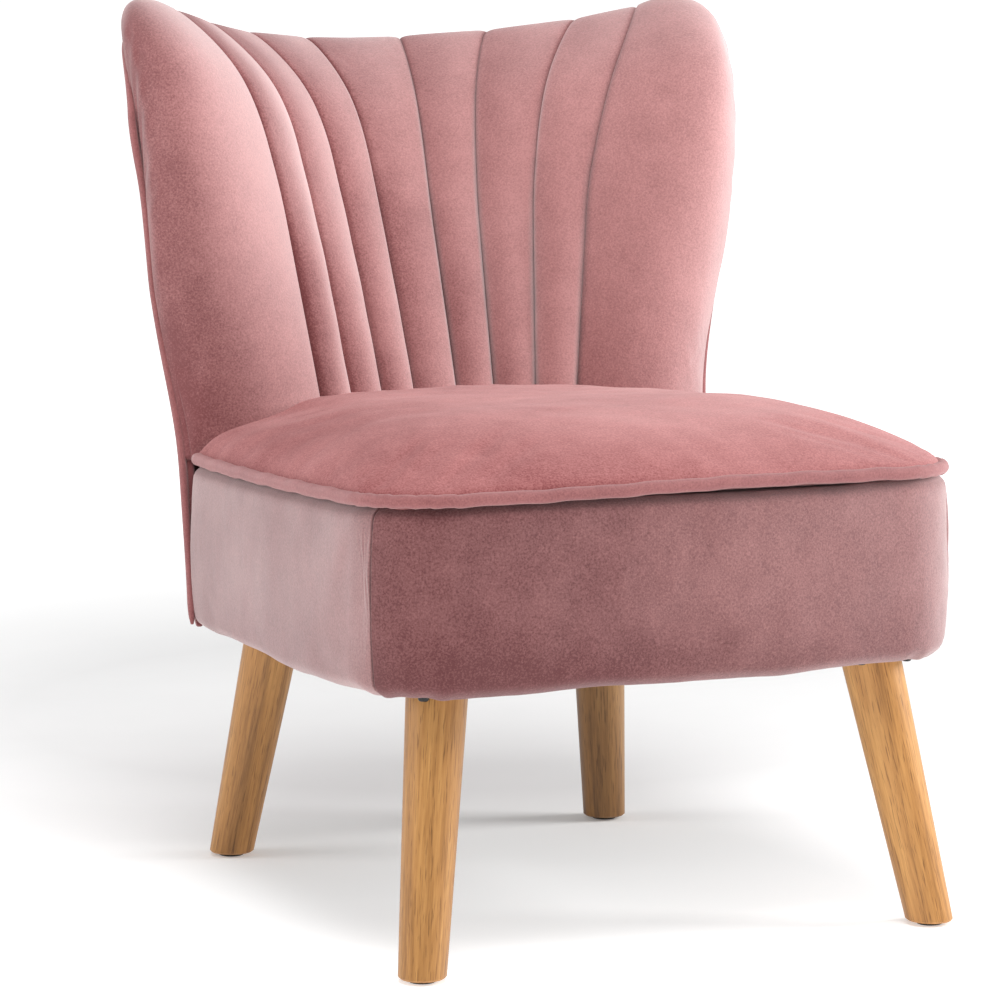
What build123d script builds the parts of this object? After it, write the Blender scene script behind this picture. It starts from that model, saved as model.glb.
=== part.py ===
"""Armless slipper chair with a channelled wing back, built as an upholsterer builds it.

Millimetres, +Z up, the seat faces -Y and the chair is symmetric about X = 0.
The origin is on the floor, in the middle of the chair's own box.
Places along Y are first given as distances behind the front of the seat, and at() centres them.
"""

from build123d import *
import os

# ---------------------------------------------------------------- driving sizes
seat_half_width = 256       # at the front corners of the border
side_bow = 6                # how far each side of the seat swells past that
front_bow = 18              # how far the front of the seat swells past its corners
front_corner_radius = 60
border_end = 418            # where the side borders stop, just ahead of the back
seat_bottom = 214           # underside of the borders
seat_line = 365             # height of the piping at the front
seat_fall = 0.0235          # drop of the piping for each millimetre towards the back
crown_height = 44           # how far the cushion rises above the piping
crown_middle = 215          # where the cushion is highest, behind the seat front
crown_rear_share = 0.62     # how much of the crown is left where the cushion meets the back
piping_size = 10
piping_proud = 1            # how far the piping stands out past the borders

# The back is the space between an inner and an outer curve. Each runs through five stations on
# each side: the middle, a third of the way out, the last seam, the wing's shoulder and its edge.
# They are given as (x, distance behind the seat front) at a low and at a high level.
back_foot = 362             # the back starts here, on top of the seat frame
low_level = 407
high_level = 621
inner_low = [(0, 481), (54, 474), (122, 446), (222, 416), (247, 426)]
inner_high = [(0, 566), (68, 548), (151, 480), (259, 437), (281, 458)]
outer_low = [(0, 555), (117, 545), (198, 506), (241, 459), (253, 429)]
outer_high = [(0, 644), (110, 613), (205, 543), (266, 500), (281, 474)]
crest_dip = 694             # top of the back in the middle
crest_rise = 705            # top of the back over the last seam
crest_rise_x = 150
wing_top = 729
wing_top_x = 246
wing_tip_drop = 60          # height of the rounded wing tip
cover_side = 10             # the cover folds back over the core by this much at the sides
cover_top = 26              # and by this much at the crest

# Layers of the back, as shares of its thickness from the inside (0) to the outside (1).
cover_back = 0.36
foam_back = 0.50
webbing_back = 0.54
frame_back = 0.82
panel_front = 0.86
welt_size = 8
welt_inner = 0.90
welt_outer = 1.05

channel_count = 7
seam_spread_low = 122       # the last seam's distance from the middle at low_level
seam_spread_high = 151      # and at high_level

# Timber frame of the seat.
frame_front = 36            # behind the seat front
frame_half_width = 230
rail_thickness = 22
rail_top = 300
rail_bottom = 216.5
frame_corner_radius = 20
side_rail_end = 418
block_height = 44
block_leg = 78              # length of the front blocks along each rail
block_tip = 14              # width of a front block's cut ends
rear_block = [(196, 436), (160, 460), (118, 474), (118, 430)]   # inner corners of the rear blocks
rear_block_side = 40        # length of a rear block along its side rail
rear_rail_inset = 10        # the rear rail stops this far inside the side rails' faces
post_width = 32
dowel_diameter = 10
dowel_length = 60
dowel_spacing = 16
dowel_line = (0.84, -0.54)  # direction from dowel to dowel, along the curved rear rail

# Straps, foam and cloth.
strap_thickness = 2
seat_strap_width = 50
seat_strap_pitch = 95
back_strap_width = 40
back_strap_levels = [480, 540, 600]
bottom_rail_height = 40
bottom_rail_level = 385     # its lower edge
crest_rail_height = 45
wing_board_rise = 90        # how much higher the wing board starts at its outer edge
foam_half_width = 205
dust_cover_inset = 8        # inside the edge of the timber frame
dust_cover_thickness = 1

# Legs: the middle of each top and foot, as (x, distance behind the seat front).
front_leg_top = (191, 63)
front_leg_foot = (224, 20)
rear_leg_top = (153, 468)
rear_leg_foot = (181, 507)
leg_top_diameter = 48
leg_foot_diameter = 37
leg_edge = 1.5
leg_spare = 12              # drawn past both ends of a leg before it is cut level
plate_side = 52
plate_thickness = 3
plate_corner_radius = 5
boss_diameter = 14
boss_height = 11
bolt_diameter = 8
bolt_grip = 32              # the leg bolt's length inside the leg
bolt_edge = 0.8
bolt_end_gap = 2            # the bolt stops this far below the boss's top
screw_offset = 21           # from the plate's middle, along both of its sides
screw_head_diameter = 8.5
screw_head_height = 3.4
screw_head_round = 0.6      # share of the head's height that is rounded
screw_shank_diameter = 4
screw_length = 18
glide_diameter = 21
glide_thickness = 3
glide_edge = 0.8
stud_diameter = 6
stud_length = 20
stud_edge = 0.6
stud_clearance = 0.1        # all round, so that the foot can be turned in and out
insert_diameter = 10
insert_length = 22
stud_room = 4               # drilled depth left above the stud

# ---------------------------------------------------------------- worked-out places


def blend(first, second, share):
    return first + (second - first) * share


def station(stations, level):
    """The five (x, y) stations of a curve at any height, on straight lines through two levels."""
    low, high = stations
    share = (level - low_level) / (high_level - low_level)
    return [(blend(a[0], b[0], share), blend(a[1], b[1], share)) for a, b in zip(low, high)]


crest_rear = station((outer_low, outer_high), crest_dip)[0][1]
depth = crest_rear + piping_proud


def at(behind_front):
    """Y of a place that lies this far behind the front of the seat."""
    return behind_front + piping_proud - depth / 2


def layer_points(share, level):
    """Points of one layer's curve, from the left wing's edge to the right one's."""
    inner = station((inner_low, inner_high), level)
    outer = station((outer_low, outer_high), level)
    half = [(blend(a[0], b[0], share), at(blend(a[1], b[1], share))) for a, b in zip(inner, outer)]
    left = [(-x, y) for x, y in reversed(half[1:])]
    return left + half


top_level = wing_top + 11   # the back's layers are drawn to just over its highest point
reach = 2 * seat_half_width # wide enough to cut anything from side to side
top_depth = 2 * depth       # and long enough from front to back


def plan_behind(share, level):
    """Plan of everything behind one layer's curve at a height."""
    points = layer_points(share, level)
    (left_x, left_y), (right_x, right_y) = points[0], points[-1]
    with BuildSketch() as plan:
        with BuildLine():
            Spline(*points)
            Polyline(
                (right_x, right_y), (reach, right_y), (reach, depth),
                (-reach, depth), (-reach, left_y), (left_x, left_y),
            )
        make_face()
    return plan.sketch


def space_behind(share):
    """Everything behind one layer's curve, above the seat frame."""
    with BuildPart() as space:
        for level in (back_foot, top_level):
            with BuildSketch(Plane.XY.offset(level)):
                add(plan_behind(share, level))
        loft(ruled=True)
    return space.part


def back_layer(front, back):
    """One layer of the back above the seat frame, still too wide."""
    with BuildPart() as layer:
        add(space_behind(front))
        add(space_behind(back), mode=Mode.SUBTRACT)
    return layer.part


def base_layer(front, back, bottom, top=back_foot):
    """The same layer below the back's foot, where it is upright."""
    with BuildPart() as layer:
        with BuildSketch(Plane.XY.offset(bottom)):
            add(plan_behind(front, back_foot))
            add(plan_behind(back, back_foot), mode=Mode.SUBTRACT)
        extrude(amount=top - bottom)
    return layer.part


wing_edge_low = station((outer_low, outer_high), back_foot)[4][0] + 2
wing_edge_high = station((outer_low, outer_high), wing_top - wing_tip_drop)[4][0] + 1


def elevation(side_inset, top_inset, bottom):
    """The back seen from the front, as a block that cuts a layer to its outline."""
    tip_level = wing_top - wing_tip_drop - top_inset
    edge = wing_edge_high - side_inset
    foot = wing_edge_low - side_inset
    right_peak = (wing_top_x - side_inset, wing_top - top_inset)
    left_peak = (-wing_top_x + side_inset, wing_top - top_inset)
    with BuildPart() as block:
        with BuildSketch(Plane.XZ.offset(-top_depth / 2)):
            with BuildLine():
                Spline(
                    left_peak,
                    (-crest_rise_x, crest_rise - top_inset),
                    (0, crest_dip - top_inset),
                    (crest_rise_x, crest_rise - top_inset),
                    right_peak,
                )
                Spline(right_peak, (edge, tip_level), tangents=[(1, 0), (0, -1)])
                Spline((-edge, tip_level), left_peak, tangents=[(0, 1), (1, 0)])
                Polyline(
                    (-edge, tip_level), (-foot, back_foot), (-foot, bottom),
                    (foot, bottom), (foot, back_foot), (edge, tip_level),
                )
            make_face()
        extrude(amount=top_depth)
    return block.part


def strip(corners):
    """A block as deep as the chair, cut to a shape seen from the front."""
    with BuildPart() as block:
        with BuildSketch(Plane.XZ.offset(-top_depth / 2)):
            with BuildLine():
                Polyline(*corners, close=True)
            make_face()
        extrude(amount=top_depth)
    return block.part


def seat_plan(grow):
    """Front and sides of the seat in plan, run straight back past the borders."""
    half = seat_half_width + grow
    front = at(front_bow - grow)
    side_middle = (front + at(border_end)) / 2
    rear_x = layer_points(1, back_foot)[-1][0] + grow
    with BuildSketch() as plan:
        with BuildLine():
            ThreePointArc((-half, front), (0, at(-grow)), (half, front))
            ThreePointArc((half, front), (half + side_bow, side_middle), (rear_x, at(border_end)))
            ThreePointArc((-half, front), (-half - side_bow, side_middle), (-rear_x, at(border_end)))
            Polyline(
                (rear_x, at(border_end)), (rear_x, depth / 2), (-rear_x, depth / 2),
                (-rear_x, at(border_end)),
            )
        make_face()
        fillet(plan.vertices().group_by(Axis.Y)[0], front_corner_radius + grow)
    return plan.sketch


def piping_plane(offset):
    """The tilted plane of the seat line, this far above it."""
    tilt = Vector(0, seat_fall, 1).normalized()
    return Plane(origin=(0, at(0), seat_line + offset), z_dir=tilt)


def frame_plan():
    """The timber frame in plan, open to the back."""
    with BuildSketch() as plan:
        with Locations((0, (at(frame_front) + at(side_rail_end)) / 2)):
            Rectangle(2 * frame_half_width, side_rail_end - frame_front)
        fillet(plan.vertices().group_by(Axis.Y)[0], frame_corner_radius)
    return plan.sketch


def name_and_save(piece, label):
    piece.label = label
    export_step(piece, f"parts/{label}.step")


os.makedirs("parts", exist_ok=True)

# ---------------------------------------------------------------- legs and their fastenings

legs = {
    "front_left": (-1, front_leg_top, front_leg_foot),
    "front_right": (1, front_leg_top, front_leg_foot),
    "rear_left": (-1, rear_leg_top, rear_leg_foot),
    "rear_right": (1, rear_leg_top, rear_leg_foot),
}
leg_top_level = rail_bottom - plate_thickness
bosses = []
screws = []

for corner, (side, top, foot) in legs.items():
    top_point = Vector(side * top[0], at(top[1]), leg_top_level)
    foot_point = Vector(side * foot[0], at(foot[1]), 0)
    axis = (top_point - foot_point).normalized()
    leg_length = (top_point - foot_point).length
    taper_rate = (leg_top_diameter - leg_foot_diameter) / 2 / leg_length
    leg_line = Plane(origin=foot_point - axis * leg_spare, z_dir=axis)
    foot_middle = foot_point + axis * (glide_thickness / axis.Z)

    # The hanger bolt runs up the leg's own line, into the plate's boss.
    with BuildPart() as leg_bolt:
        with BuildSketch(Plane(origin=top_point - axis * bolt_grip, z_dir=axis)):
            Circle(bolt_diameter / 2)
        extrude(amount=bolt_grip + plate_thickness + boss_height - bolt_end_gap)
        chamfer(leg_bolt.edges(), bolt_edge)
    name_and_save(leg_bolt.part, f"leg_bolt_{corner}")

    # A plain boss, used to bore the timber that it sits in.
    with BuildPart() as boss:
        with BuildSketch(Plane(origin=top_point, z_dir=axis)):
            Circle(boss_diameter / 2)
        extrude(amount=plate_thickness + boss_height)
    bosses.append(boss.part)

    plate_middle = Vector(top_point.X, top_point.Y, rail_bottom)
    with BuildPart() as leg_plate:
        with BuildSketch(Plane.XY.offset(leg_top_level)):
            with Locations((plate_middle.X, plate_middle.Y)):
                RectangleRounded(plate_side, plate_side, plate_corner_radius)
        extrude(amount=plate_thickness)
        with BuildSketch(Plane(origin=top_point, z_dir=axis)):
            Circle(boss_diameter / 2)
        extrude(amount=plate_thickness + boss_height)
        split(bisect_by=Plane.XY.offset(leg_top_level), keep=Keep.TOP)
        add(leg_bolt.part, mode=Mode.SUBTRACT)
        with Locations(plate_middle):
            with GridLocations(2 * screw_offset, 2 * screw_offset, 2, 2):
                Hole(screw_shank_diameter / 2, depth=2 * plate_thickness)
    name_and_save(leg_plate.part, f"leg_plate_{corner}")

    # Pan-head screws hang under the plate.
    with BuildPart() as screw_set:
        with BuildSketch(Plane.XY.offset(leg_top_level - screw_head_height)):
            with Locations((plate_middle.X, plate_middle.Y)):
                with GridLocations(2 * screw_offset, 2 * screw_offset, 2, 2):
                    Circle(screw_head_diameter / 2)
        extrude(amount=screw_head_height)
        fillet(screw_set.edges().group_by(Axis.Z)[0], screw_head_height * screw_head_round)
        with BuildSketch(Plane.XY.offset(leg_top_level)):
            with Locations((plate_middle.X, plate_middle.Y)):
                with GridLocations(2 * screw_offset, 2 * screw_offset, 2, 2):
                    Circle(screw_shank_diameter / 2)
        extrude(amount=screw_length)
    screws.append(screw_set.part)

    # The levelling foot screws into an insert in the leg's end.
    stud_top = glide_thickness + stud_length
    with BuildPart() as glide:
        with BuildSketch():
            with Locations((foot_middle.X, foot_middle.Y)):
                Circle(glide_diameter / 2)
        extrude(amount=glide_thickness)
        fillet(glide.edges().group_by(Axis.Z)[0], glide_edge)
        with BuildSketch(Plane.XY.offset(glide_thickness)):
            with Locations((foot_middle.X, foot_middle.Y)):
                Circle(stud_diameter / 2)
        extrude(amount=stud_length)
        chamfer(glide.edges().group_by(Axis.Z)[-1], stud_edge)
    name_and_save(glide.part, f"glide_{corner}")

    with BuildPart() as glide_insert:
        with BuildSketch(Plane.XY.offset(glide_thickness)):
            with Locations((foot_middle.X, foot_middle.Y)):
                Circle(insert_diameter / 2)
                Circle(stud_diameter / 2 + stud_clearance, mode=Mode.SUBTRACT)
        extrude(amount=insert_length)
    name_and_save(glide_insert.part, f"glide_insert_{corner}")

    with BuildPart() as leg:
        with BuildSketch(leg_line):
            Circle(leg_foot_diameter / 2 - taper_rate * leg_spare)
        with BuildSketch(leg_line.offset(leg_length + 2 * leg_spare)):
            Circle(leg_top_diameter / 2 + taper_rate * leg_spare)
        loft()
        split(bisect_by=Plane.XY.offset(leg_top_level), keep=Keep.BOTTOM)
        split(bisect_by=Plane.XY.offset(glide_thickness), keep=Keep.TOP)
        chamfer(leg.edges().group_by(Axis.Z)[0], leg_edge)
        add(leg_bolt.part, mode=Mode.SUBTRACT)
        with BuildSketch(Plane.XY.offset(glide_thickness)):
            with Locations((foot_middle.X, foot_middle.Y)):
                Circle(insert_diameter / 2)
        extrude(amount=max(insert_length, stud_length) + stud_room, mode=Mode.SUBTRACT)
    name_and_save(leg.part, f"leg_{corner}")

with BuildPart() as plate_screws:
    for screw_set_part in screws:
        add(screw_set_part)
name_and_save(plate_screws.part, "plate_screws")


def bore_for_legs():
    """Clears the bosses and screws out of the timber that is open."""
    for boss_part in bosses:
        add(boss_part, mode=Mode.SUBTRACT)
    for screw_set_part in screws:
        add(screw_set_part, mode=Mode.SUBTRACT)


# ---------------------------------------------------------------- seat frame

rail_height = rail_top - rail_bottom
rail_front_inner = at(frame_front + rail_thickness)

with BuildPart() as seat_front_rail:
    with BuildSketch(Plane.XY.offset(rail_bottom)):
        add(frame_plan())
        with Locations((0, rail_front_inner)):
            Rectangle(
                2 * reach, top_depth, align=(Align.CENTER, Align.MIN), mode=Mode.SUBTRACT
            )
    extrude(amount=rail_height)
    bore_for_legs()
name_and_save(seat_front_rail.part, "seat_front_rail")

for side, label in ((-1, "seat_left_rail"), (1, "seat_right_rail")):
    side_rail_length = side_rail_end - frame_front - rail_thickness
    with BuildPart() as side_rail:
        with BuildSketch(Plane.XY.offset(rail_bottom)):
            with Locations((side * (frame_half_width - rail_thickness / 2), rail_front_inner)):
                Rectangle(rail_thickness, side_rail_length, align=(Align.CENTER, Align.MIN))
        extrude(amount=rail_height)
        bore_for_legs()
    name_and_save(side_rail.part, label)

with BuildPart() as dowels:
    for side in (-1, 1):
        x, y = layer_points((webbing_back + frame_back) / 2, back_foot)[6]
        outward = Vector(*dowel_line)
        for step in (-dowel_spacing / 2, dowel_spacing / 2):
            with BuildSketch(Plane.XY.offset(rail_top - dowel_length / 2)):
                with Locations((side * (x + outward.X * step), y + outward.Y * step)):
                    Circle(dowel_diameter / 2)
            extrude(amount=dowel_length)
name_and_save(dowels.part, "post_dowels")

rear_rail_half = frame_half_width - rear_rail_inset
with BuildPart() as seat_rear_rail:
    add(base_layer(webbing_back, frame_back, rail_bottom, rail_top))
    add(
        strip([
            (-rear_rail_half, 0), (rear_rail_half, 0),
            (rear_rail_half, back_foot), (-rear_rail_half, back_foot),
        ]),
        mode=Mode.INTERSECT,
    )
    add(dowels.part, mode=Mode.SUBTRACT)
    bore_for_legs()
name_and_save(seat_rear_rail.part, "seat_rear_rail")

block_edge = frame_half_width - rail_thickness
with BuildPart() as corner_blocks:
    for side in (-1, 1):
        with BuildSketch(Plane.XY.offset(rail_bottom)):
            with BuildLine():
                Polyline(
                    (side * block_edge, rail_front_inner),
                    (side * (block_edge - block_leg), rail_front_inner),
                    (side * (block_edge - block_leg), rail_front_inner + block_tip),
                    (side * (block_edge - block_tip), rail_front_inner + block_leg),
                    (side * block_edge, rail_front_inner + block_leg),
                    close=True,
                )
            make_face()
        with BuildSketch(Plane.XY.offset(rail_bottom)):
            with BuildLine():
                Polyline(
                    (side * block_edge, at(side_rail_end - rear_block_side)),
                    (side * block_edge, at(side_rail_end)),
                    *[(side * x, at(v)) for x, v in rear_block],
                    close=True,
                )
            make_face()
    extrude(amount=block_height)
    bore_for_legs()
name_and_save(corner_blocks.part, "corner_blocks")

# Straps lie crossed on the rails: three from front to back, three from side to side on top.
with BuildPart() as seat_webbing:
    with BuildSketch(Plane.XY.offset(rail_top)):
        with Locations((0, at((frame_front + side_rail_end) / 2))):
            with GridLocations(seat_strap_pitch, 1, 3, 1):
                Rectangle(seat_strap_width, side_rail_end - frame_front - 4)
    extrude(amount=strap_thickness)
    with BuildSketch(Plane.XY.offset(rail_top + strap_thickness)):
        with Locations((0, at((frame_front + side_rail_end) / 2))):
            with GridLocations(1, seat_strap_pitch, 1, 3):
                Rectangle(2 * frame_half_width - 4, seat_strap_width)
    extrude(amount=strap_thickness)
name_and_save(seat_webbing.part, "seat_webbing")

# ---------------------------------------------------------------- seat upholstery

half_piping = piping_size / 2
with BuildPart() as seat_piping:
    with BuildSketch():
        add(seat_plan(piping_proud))
        offset(seat_plan(0), amount=piping_proud - piping_size + 1, mode=Mode.SUBTRACT)
        with Locations((0, at(border_end))):
            Rectangle(
                2 * reach, top_depth, align=(Align.CENTER, Align.MIN), mode=Mode.SUBTRACT
            )
    extrude(amount=2 * seat_line)
    split(bisect_by=piping_plane(half_piping), keep=Keep.BOTTOM)
    split(bisect_by=piping_plane(-half_piping), keep=Keep.TOP)
name_and_save(seat_piping.part, "seat_piping")

with BuildPart() as border_ring:
    with BuildSketch(Plane.XY.offset(seat_bottom)):
        add(seat_plan(0))
        add(frame_plan(), mode=Mode.SUBTRACT)
        with Locations((0, at(border_end))):
            Rectangle(
                2 * reach, top_depth, align=(Align.CENTER, Align.MIN), mode=Mode.SUBTRACT
            )
    extrude(amount=seat_line)
    split(bisect_by=piping_plane(-half_piping), keep=Keep.BOTTOM)

# The borders meet at a seam in the middle of each rounded front corner.
corner_x = seat_half_width - front_corner_radius
corner_y = at(front_bow + front_corner_radius)
for label, corners in {
    "front_border": [
        (-corner_x, corner_y), (-corner_x - reach, corner_y - reach),
        (corner_x + reach, corner_y - reach), (corner_x, corner_y),
    ],
    "left_border": [
        (-corner_x, corner_y), (-corner_x - reach, corner_y - reach),
        (-corner_x - reach, corner_y + reach), (-corner_x, corner_y + reach),
    ],
    "right_border": [
        (corner_x, corner_y), (corner_x + reach, corner_y - reach),
        (corner_x + reach, corner_y + reach), (corner_x, corner_y + reach),
    ],
}.items():
    with BuildPart() as border:
        with BuildSketch():
            with BuildLine():
                Polyline(*corners, close=True)
            make_face()
        extrude(amount=2 * seat_line)
        add(border_ring.part, mode=Mode.INTERSECT)
    name_and_save(border.part, label)

with BuildPart() as seat_foam:
    with BuildSketch(Plane.XY.offset(rail_top + 2 * strap_thickness)) as foam_plan:
        with Locations((0, at((frame_front + side_rail_end) / 2))):
            Rectangle(2 * foam_half_width, side_rail_end - frame_front)
        fillet(foam_plan.vertices(), frame_corner_radius)
    extrude(amount=seat_line)
    split(bisect_by=piping_plane(-half_piping), keep=Keep.BOTTOM)
name_and_save(seat_foam.part, "seat_foam")

back_body = back_layer(0, 1)

# The cushion's crown is where two long arches cross, one along the chair and one across it.
crown_top = seat_line + crown_height
crown_rear = border_end + 60
with BuildPart() as crown_across:
    with BuildSketch(Plane.XZ.offset(-top_depth / 2)):
        with BuildLine():
            half = seat_half_width + side_bow
            ThreePointArc((-half, seat_line), (0, crown_top), (half, seat_line))
            Polyline((-half, seat_line), (-half, rail_top), (half, rail_top), (half, seat_line))
        make_face()
    extrude(amount=top_depth)

with BuildPart() as seat_cushion:
    with BuildSketch(Plane.YZ.offset(-reach)):
        with BuildLine():
            rear_level = seat_line + crown_height * crown_rear_share
            ThreePointArc((at(0), seat_line), (at(crown_middle), crown_top), (at(crown_rear), rear_level))
            Polyline(
                (at(0), seat_line), (at(0), rail_top), (at(crown_rear), rail_top),
                (at(crown_rear), rear_level),
            )
        make_face()
    extrude(amount=2 * reach)
    add(crown_across.part, mode=Mode.INTERSECT)
    with BuildSketch():
        add(seat_plan(0))
    extrude(amount=2 * seat_line, mode=Mode.INTERSECT)
    split(bisect_by=piping_plane(-half_piping), keep=Keep.TOP)
    add(seat_piping.part, mode=Mode.SUBTRACT)
    add(space_behind(0), mode=Mode.SUBTRACT)
    with BuildSketch():
        add(plan_behind(cover_back, back_foot))
    extrude(amount=back_foot, mode=Mode.SUBTRACT)
name_and_save(seat_cushion.part, "seat_cushion")

with BuildPart() as dust_cover:
    with BuildSketch(Plane.XY.offset(rail_bottom - dust_cover_thickness)):
        add(seat_plan(0))
        with Locations((0, at(frame_front + dust_cover_inset))):
            Rectangle(
                2 * (frame_half_width - dust_cover_inset),
                top_depth,
                align=(Align.CENTER, Align.MIN),
                mode=Mode.INTERSECT,
            )
        with Locations([(side * top[0], at(top[1])) for side, top, foot in legs.values()]):
            Rectangle(plate_side, plate_side, mode=Mode.SUBTRACT)
        add(plan_behind(webbing_back, back_foot), mode=Mode.SUBTRACT)
    extrude(amount=dust_cover_thickness)
name_and_save(dust_cover.part, "dust_cover")

# ---------------------------------------------------------------- back frame


def frame_layer(corners):
    """A curved board of the back frame, cut to a shape seen from the front."""
    with BuildPart() as board:
        add(frame_stock)
        add(strip(corners), mode=Mode.INTERSECT)
    return board.part


def post_middle(level):
    """X of the right post's middle at a height."""
    return layer_points((webbing_back + frame_back) / 2, level)[6][0]


core_outline = elevation(cover_side, cover_top, seat_bottom)
with BuildPart() as frame_stock_block:
    add(back_layer(webbing_back, frame_back))
    add(core_outline, mode=Mode.INTERSECT)
frame_stock = frame_stock_block.part

half_post = post_width / 2
post_foot = post_middle(back_foot)
post_top = post_middle(top_level)

for side, label in ((-1, "left_post"), (1, "right_post")):
    with BuildPart() as post:
        add(base_layer(webbing_back, frame_back, rail_top))
        add(frame_stock)
        add(
            strip([
                (side * (post_foot - half_post), rail_top), (side * (post_foot + half_post), rail_top),
                (side * (post_foot + half_post), back_foot), (side * (post_top + half_post), top_level),
                (side * (post_top - half_post), top_level), (side * (post_foot - half_post), back_foot),
            ]),
            mode=Mode.INTERSECT,
        )
        add(dowels.part, mode=Mode.SUBTRACT)
    name_and_save(post.part, label)


def post_inner(level):
    """X of the right post's inner edge at a height."""
    share = (level - back_foot) / (top_level - back_foot)
    return blend(post_foot, post_top, share) - half_post


def between_posts(bottom, top):
    """A strip's corners from post to post."""
    return [
        (-post_inner(bottom), bottom), (post_inner(bottom), bottom),
        (post_inner(top), top), (-post_inner(top), top),
    ]


bottom_rail_top = bottom_rail_level + bottom_rail_height
back_bottom_rail = frame_layer(between_posts(bottom_rail_level, bottom_rail_top))
name_and_save(back_bottom_rail, "back_bottom_rail")

crest_rail_bottom = crest_dip - cover_top - crest_rail_height
crest_rail = frame_layer(between_posts(crest_rail_bottom, top_level))
name_and_save(crest_rail, "crest_rail")

for side, label in ((-1, "left_wing_board"), (1, "right_wing_board")):
    low = bottom_rail_top
    board_low = post_inner(low) + post_width
    board_top = post_inner(top_level) + post_width
    wing_board = frame_layer([
        (side * board_low, low), (side * board_top, top_level),
        (side * reach, top_level), (side * reach, low + wing_board_rise),
    ])
    name_and_save(wing_board, label)

# Three straps run from post to post, in front of the frame.
strap_stock = back_layer(foam_back, webbing_back)
straps = []
for level in back_strap_levels:
    top = level + back_strap_width
    with BuildPart() as strap:
        add(strap_stock)
        add(
            strip([
                (-post_inner(level) - half_post, level), (post_inner(level) + half_post, level),
                (post_inner(top) + half_post, top), (-post_inner(top) - half_post, top),
            ]),
            mode=Mode.INTERSECT,
        )
    straps.append(strap.part)

with BuildPart() as back_webbing:
    for strap_part in straps:
        add(strap_part)
name_and_save(back_webbing.part, "back_webbing")

# ---------------------------------------------------------------- back upholstery

with BuildPart() as back_foam:
    add(back_layer(cover_back, foam_back))
    add(core_outline, mode=Mode.INTERSECT)
name_and_save(back_foam.part, "back_foam")

inside_welt = elevation(cover_side + welt_size, cover_top + welt_size, seat_bottom)

with BuildPart() as back_welt:
    add(back_layer(welt_inner, welt_outer))
    add(base_layer(welt_inner, welt_outer, seat_bottom))
    add(core_outline, mode=Mode.INTERSECT)
    add(inside_welt, mode=Mode.SUBTRACT)
name_and_save(back_welt.part, "back_welt")

with BuildPart() as outside_back:
    add(back_layer(panel_front, 1))
    add(base_layer(panel_front, 1, seat_bottom))
    add(core_outline, mode=Mode.INTERSECT)
    add(back_welt.part, mode=Mode.SUBTRACT)
name_and_save(outside_back.part, "outside_back")

# The inside cover rolls over the crest and round the wings, and ends against the outside panel.
with BuildPart() as core:
    add(back_layer(cover_back, welt_outer))
    add(core_outline, mode=Mode.INTERSECT)

with BuildPart() as inside_cover:
    add(back_body)
    add(elevation(0, 0, seat_bottom), mode=Mode.INTERSECT)
    add(core.part, mode=Mode.SUBTRACT)

slope = (seam_spread_high - seam_spread_low) / (high_level - low_level)


def seam_x(number, level):
    """X of a seam at a height; seams are counted from the left."""
    spread = seam_spread_low + slope * (level - low_level)
    return spread * (2 * number / channel_count - 1)


def inside_piece(corners, label):
    with BuildPart() as piece:
        add(inside_cover.part)
        add(strip(corners), mode=Mode.INTERSECT)
    name_and_save(piece.part, label)


for number in range(channel_count):
    inside_piece(
        [
            (seam_x(number, back_foot), back_foot), (seam_x(number + 1, back_foot), back_foot),
            (seam_x(number + 1, top_level), top_level), (seam_x(number, top_level), top_level),
        ],
        f"channel_{number + 1}",
    )

for side, number, label in ((-1, 0, "left_wing"), (1, channel_count, "right_wing")):
    inside_piece(
        [
            (seam_x(number, back_foot), back_foot), (seam_x(number, top_level), top_level),
            (side * reach, top_level), (side * reach, back_foot),
        ],
        label,
    )
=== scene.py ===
"""Slipper chair with a channelled wing back, in dusty-rose velvet on round wooden legs.

Metres, +Z up, the seat faces -Y. Lengths that shape the upholstery are written in millimetres and
turned into metres by mm(). Places along Y are distances behind the front of the seat.
"""

from math import cos, pi

import bmesh
import bpy
import numpy as np
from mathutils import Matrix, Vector


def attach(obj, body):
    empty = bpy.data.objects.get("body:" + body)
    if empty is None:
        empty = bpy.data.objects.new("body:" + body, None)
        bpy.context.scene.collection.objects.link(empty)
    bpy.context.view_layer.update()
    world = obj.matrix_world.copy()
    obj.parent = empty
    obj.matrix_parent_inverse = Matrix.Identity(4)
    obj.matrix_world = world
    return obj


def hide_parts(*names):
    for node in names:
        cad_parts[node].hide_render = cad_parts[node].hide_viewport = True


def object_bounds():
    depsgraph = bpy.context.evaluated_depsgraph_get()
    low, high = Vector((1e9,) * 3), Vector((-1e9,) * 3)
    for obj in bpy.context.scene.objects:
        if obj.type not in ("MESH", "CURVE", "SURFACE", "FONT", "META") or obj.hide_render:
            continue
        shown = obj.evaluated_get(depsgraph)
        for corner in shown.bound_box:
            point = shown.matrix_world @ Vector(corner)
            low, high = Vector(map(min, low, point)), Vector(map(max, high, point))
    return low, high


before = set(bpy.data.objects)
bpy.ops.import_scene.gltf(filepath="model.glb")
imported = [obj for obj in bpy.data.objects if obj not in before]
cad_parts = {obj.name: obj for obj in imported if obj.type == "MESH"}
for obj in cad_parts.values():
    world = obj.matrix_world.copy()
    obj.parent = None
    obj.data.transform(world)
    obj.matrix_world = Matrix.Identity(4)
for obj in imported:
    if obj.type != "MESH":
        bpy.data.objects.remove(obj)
cad_low, cad_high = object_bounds()


def mm(length):
    return length / 1000


# ---------------------------------------------------------------- sizes of the upholstery

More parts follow.
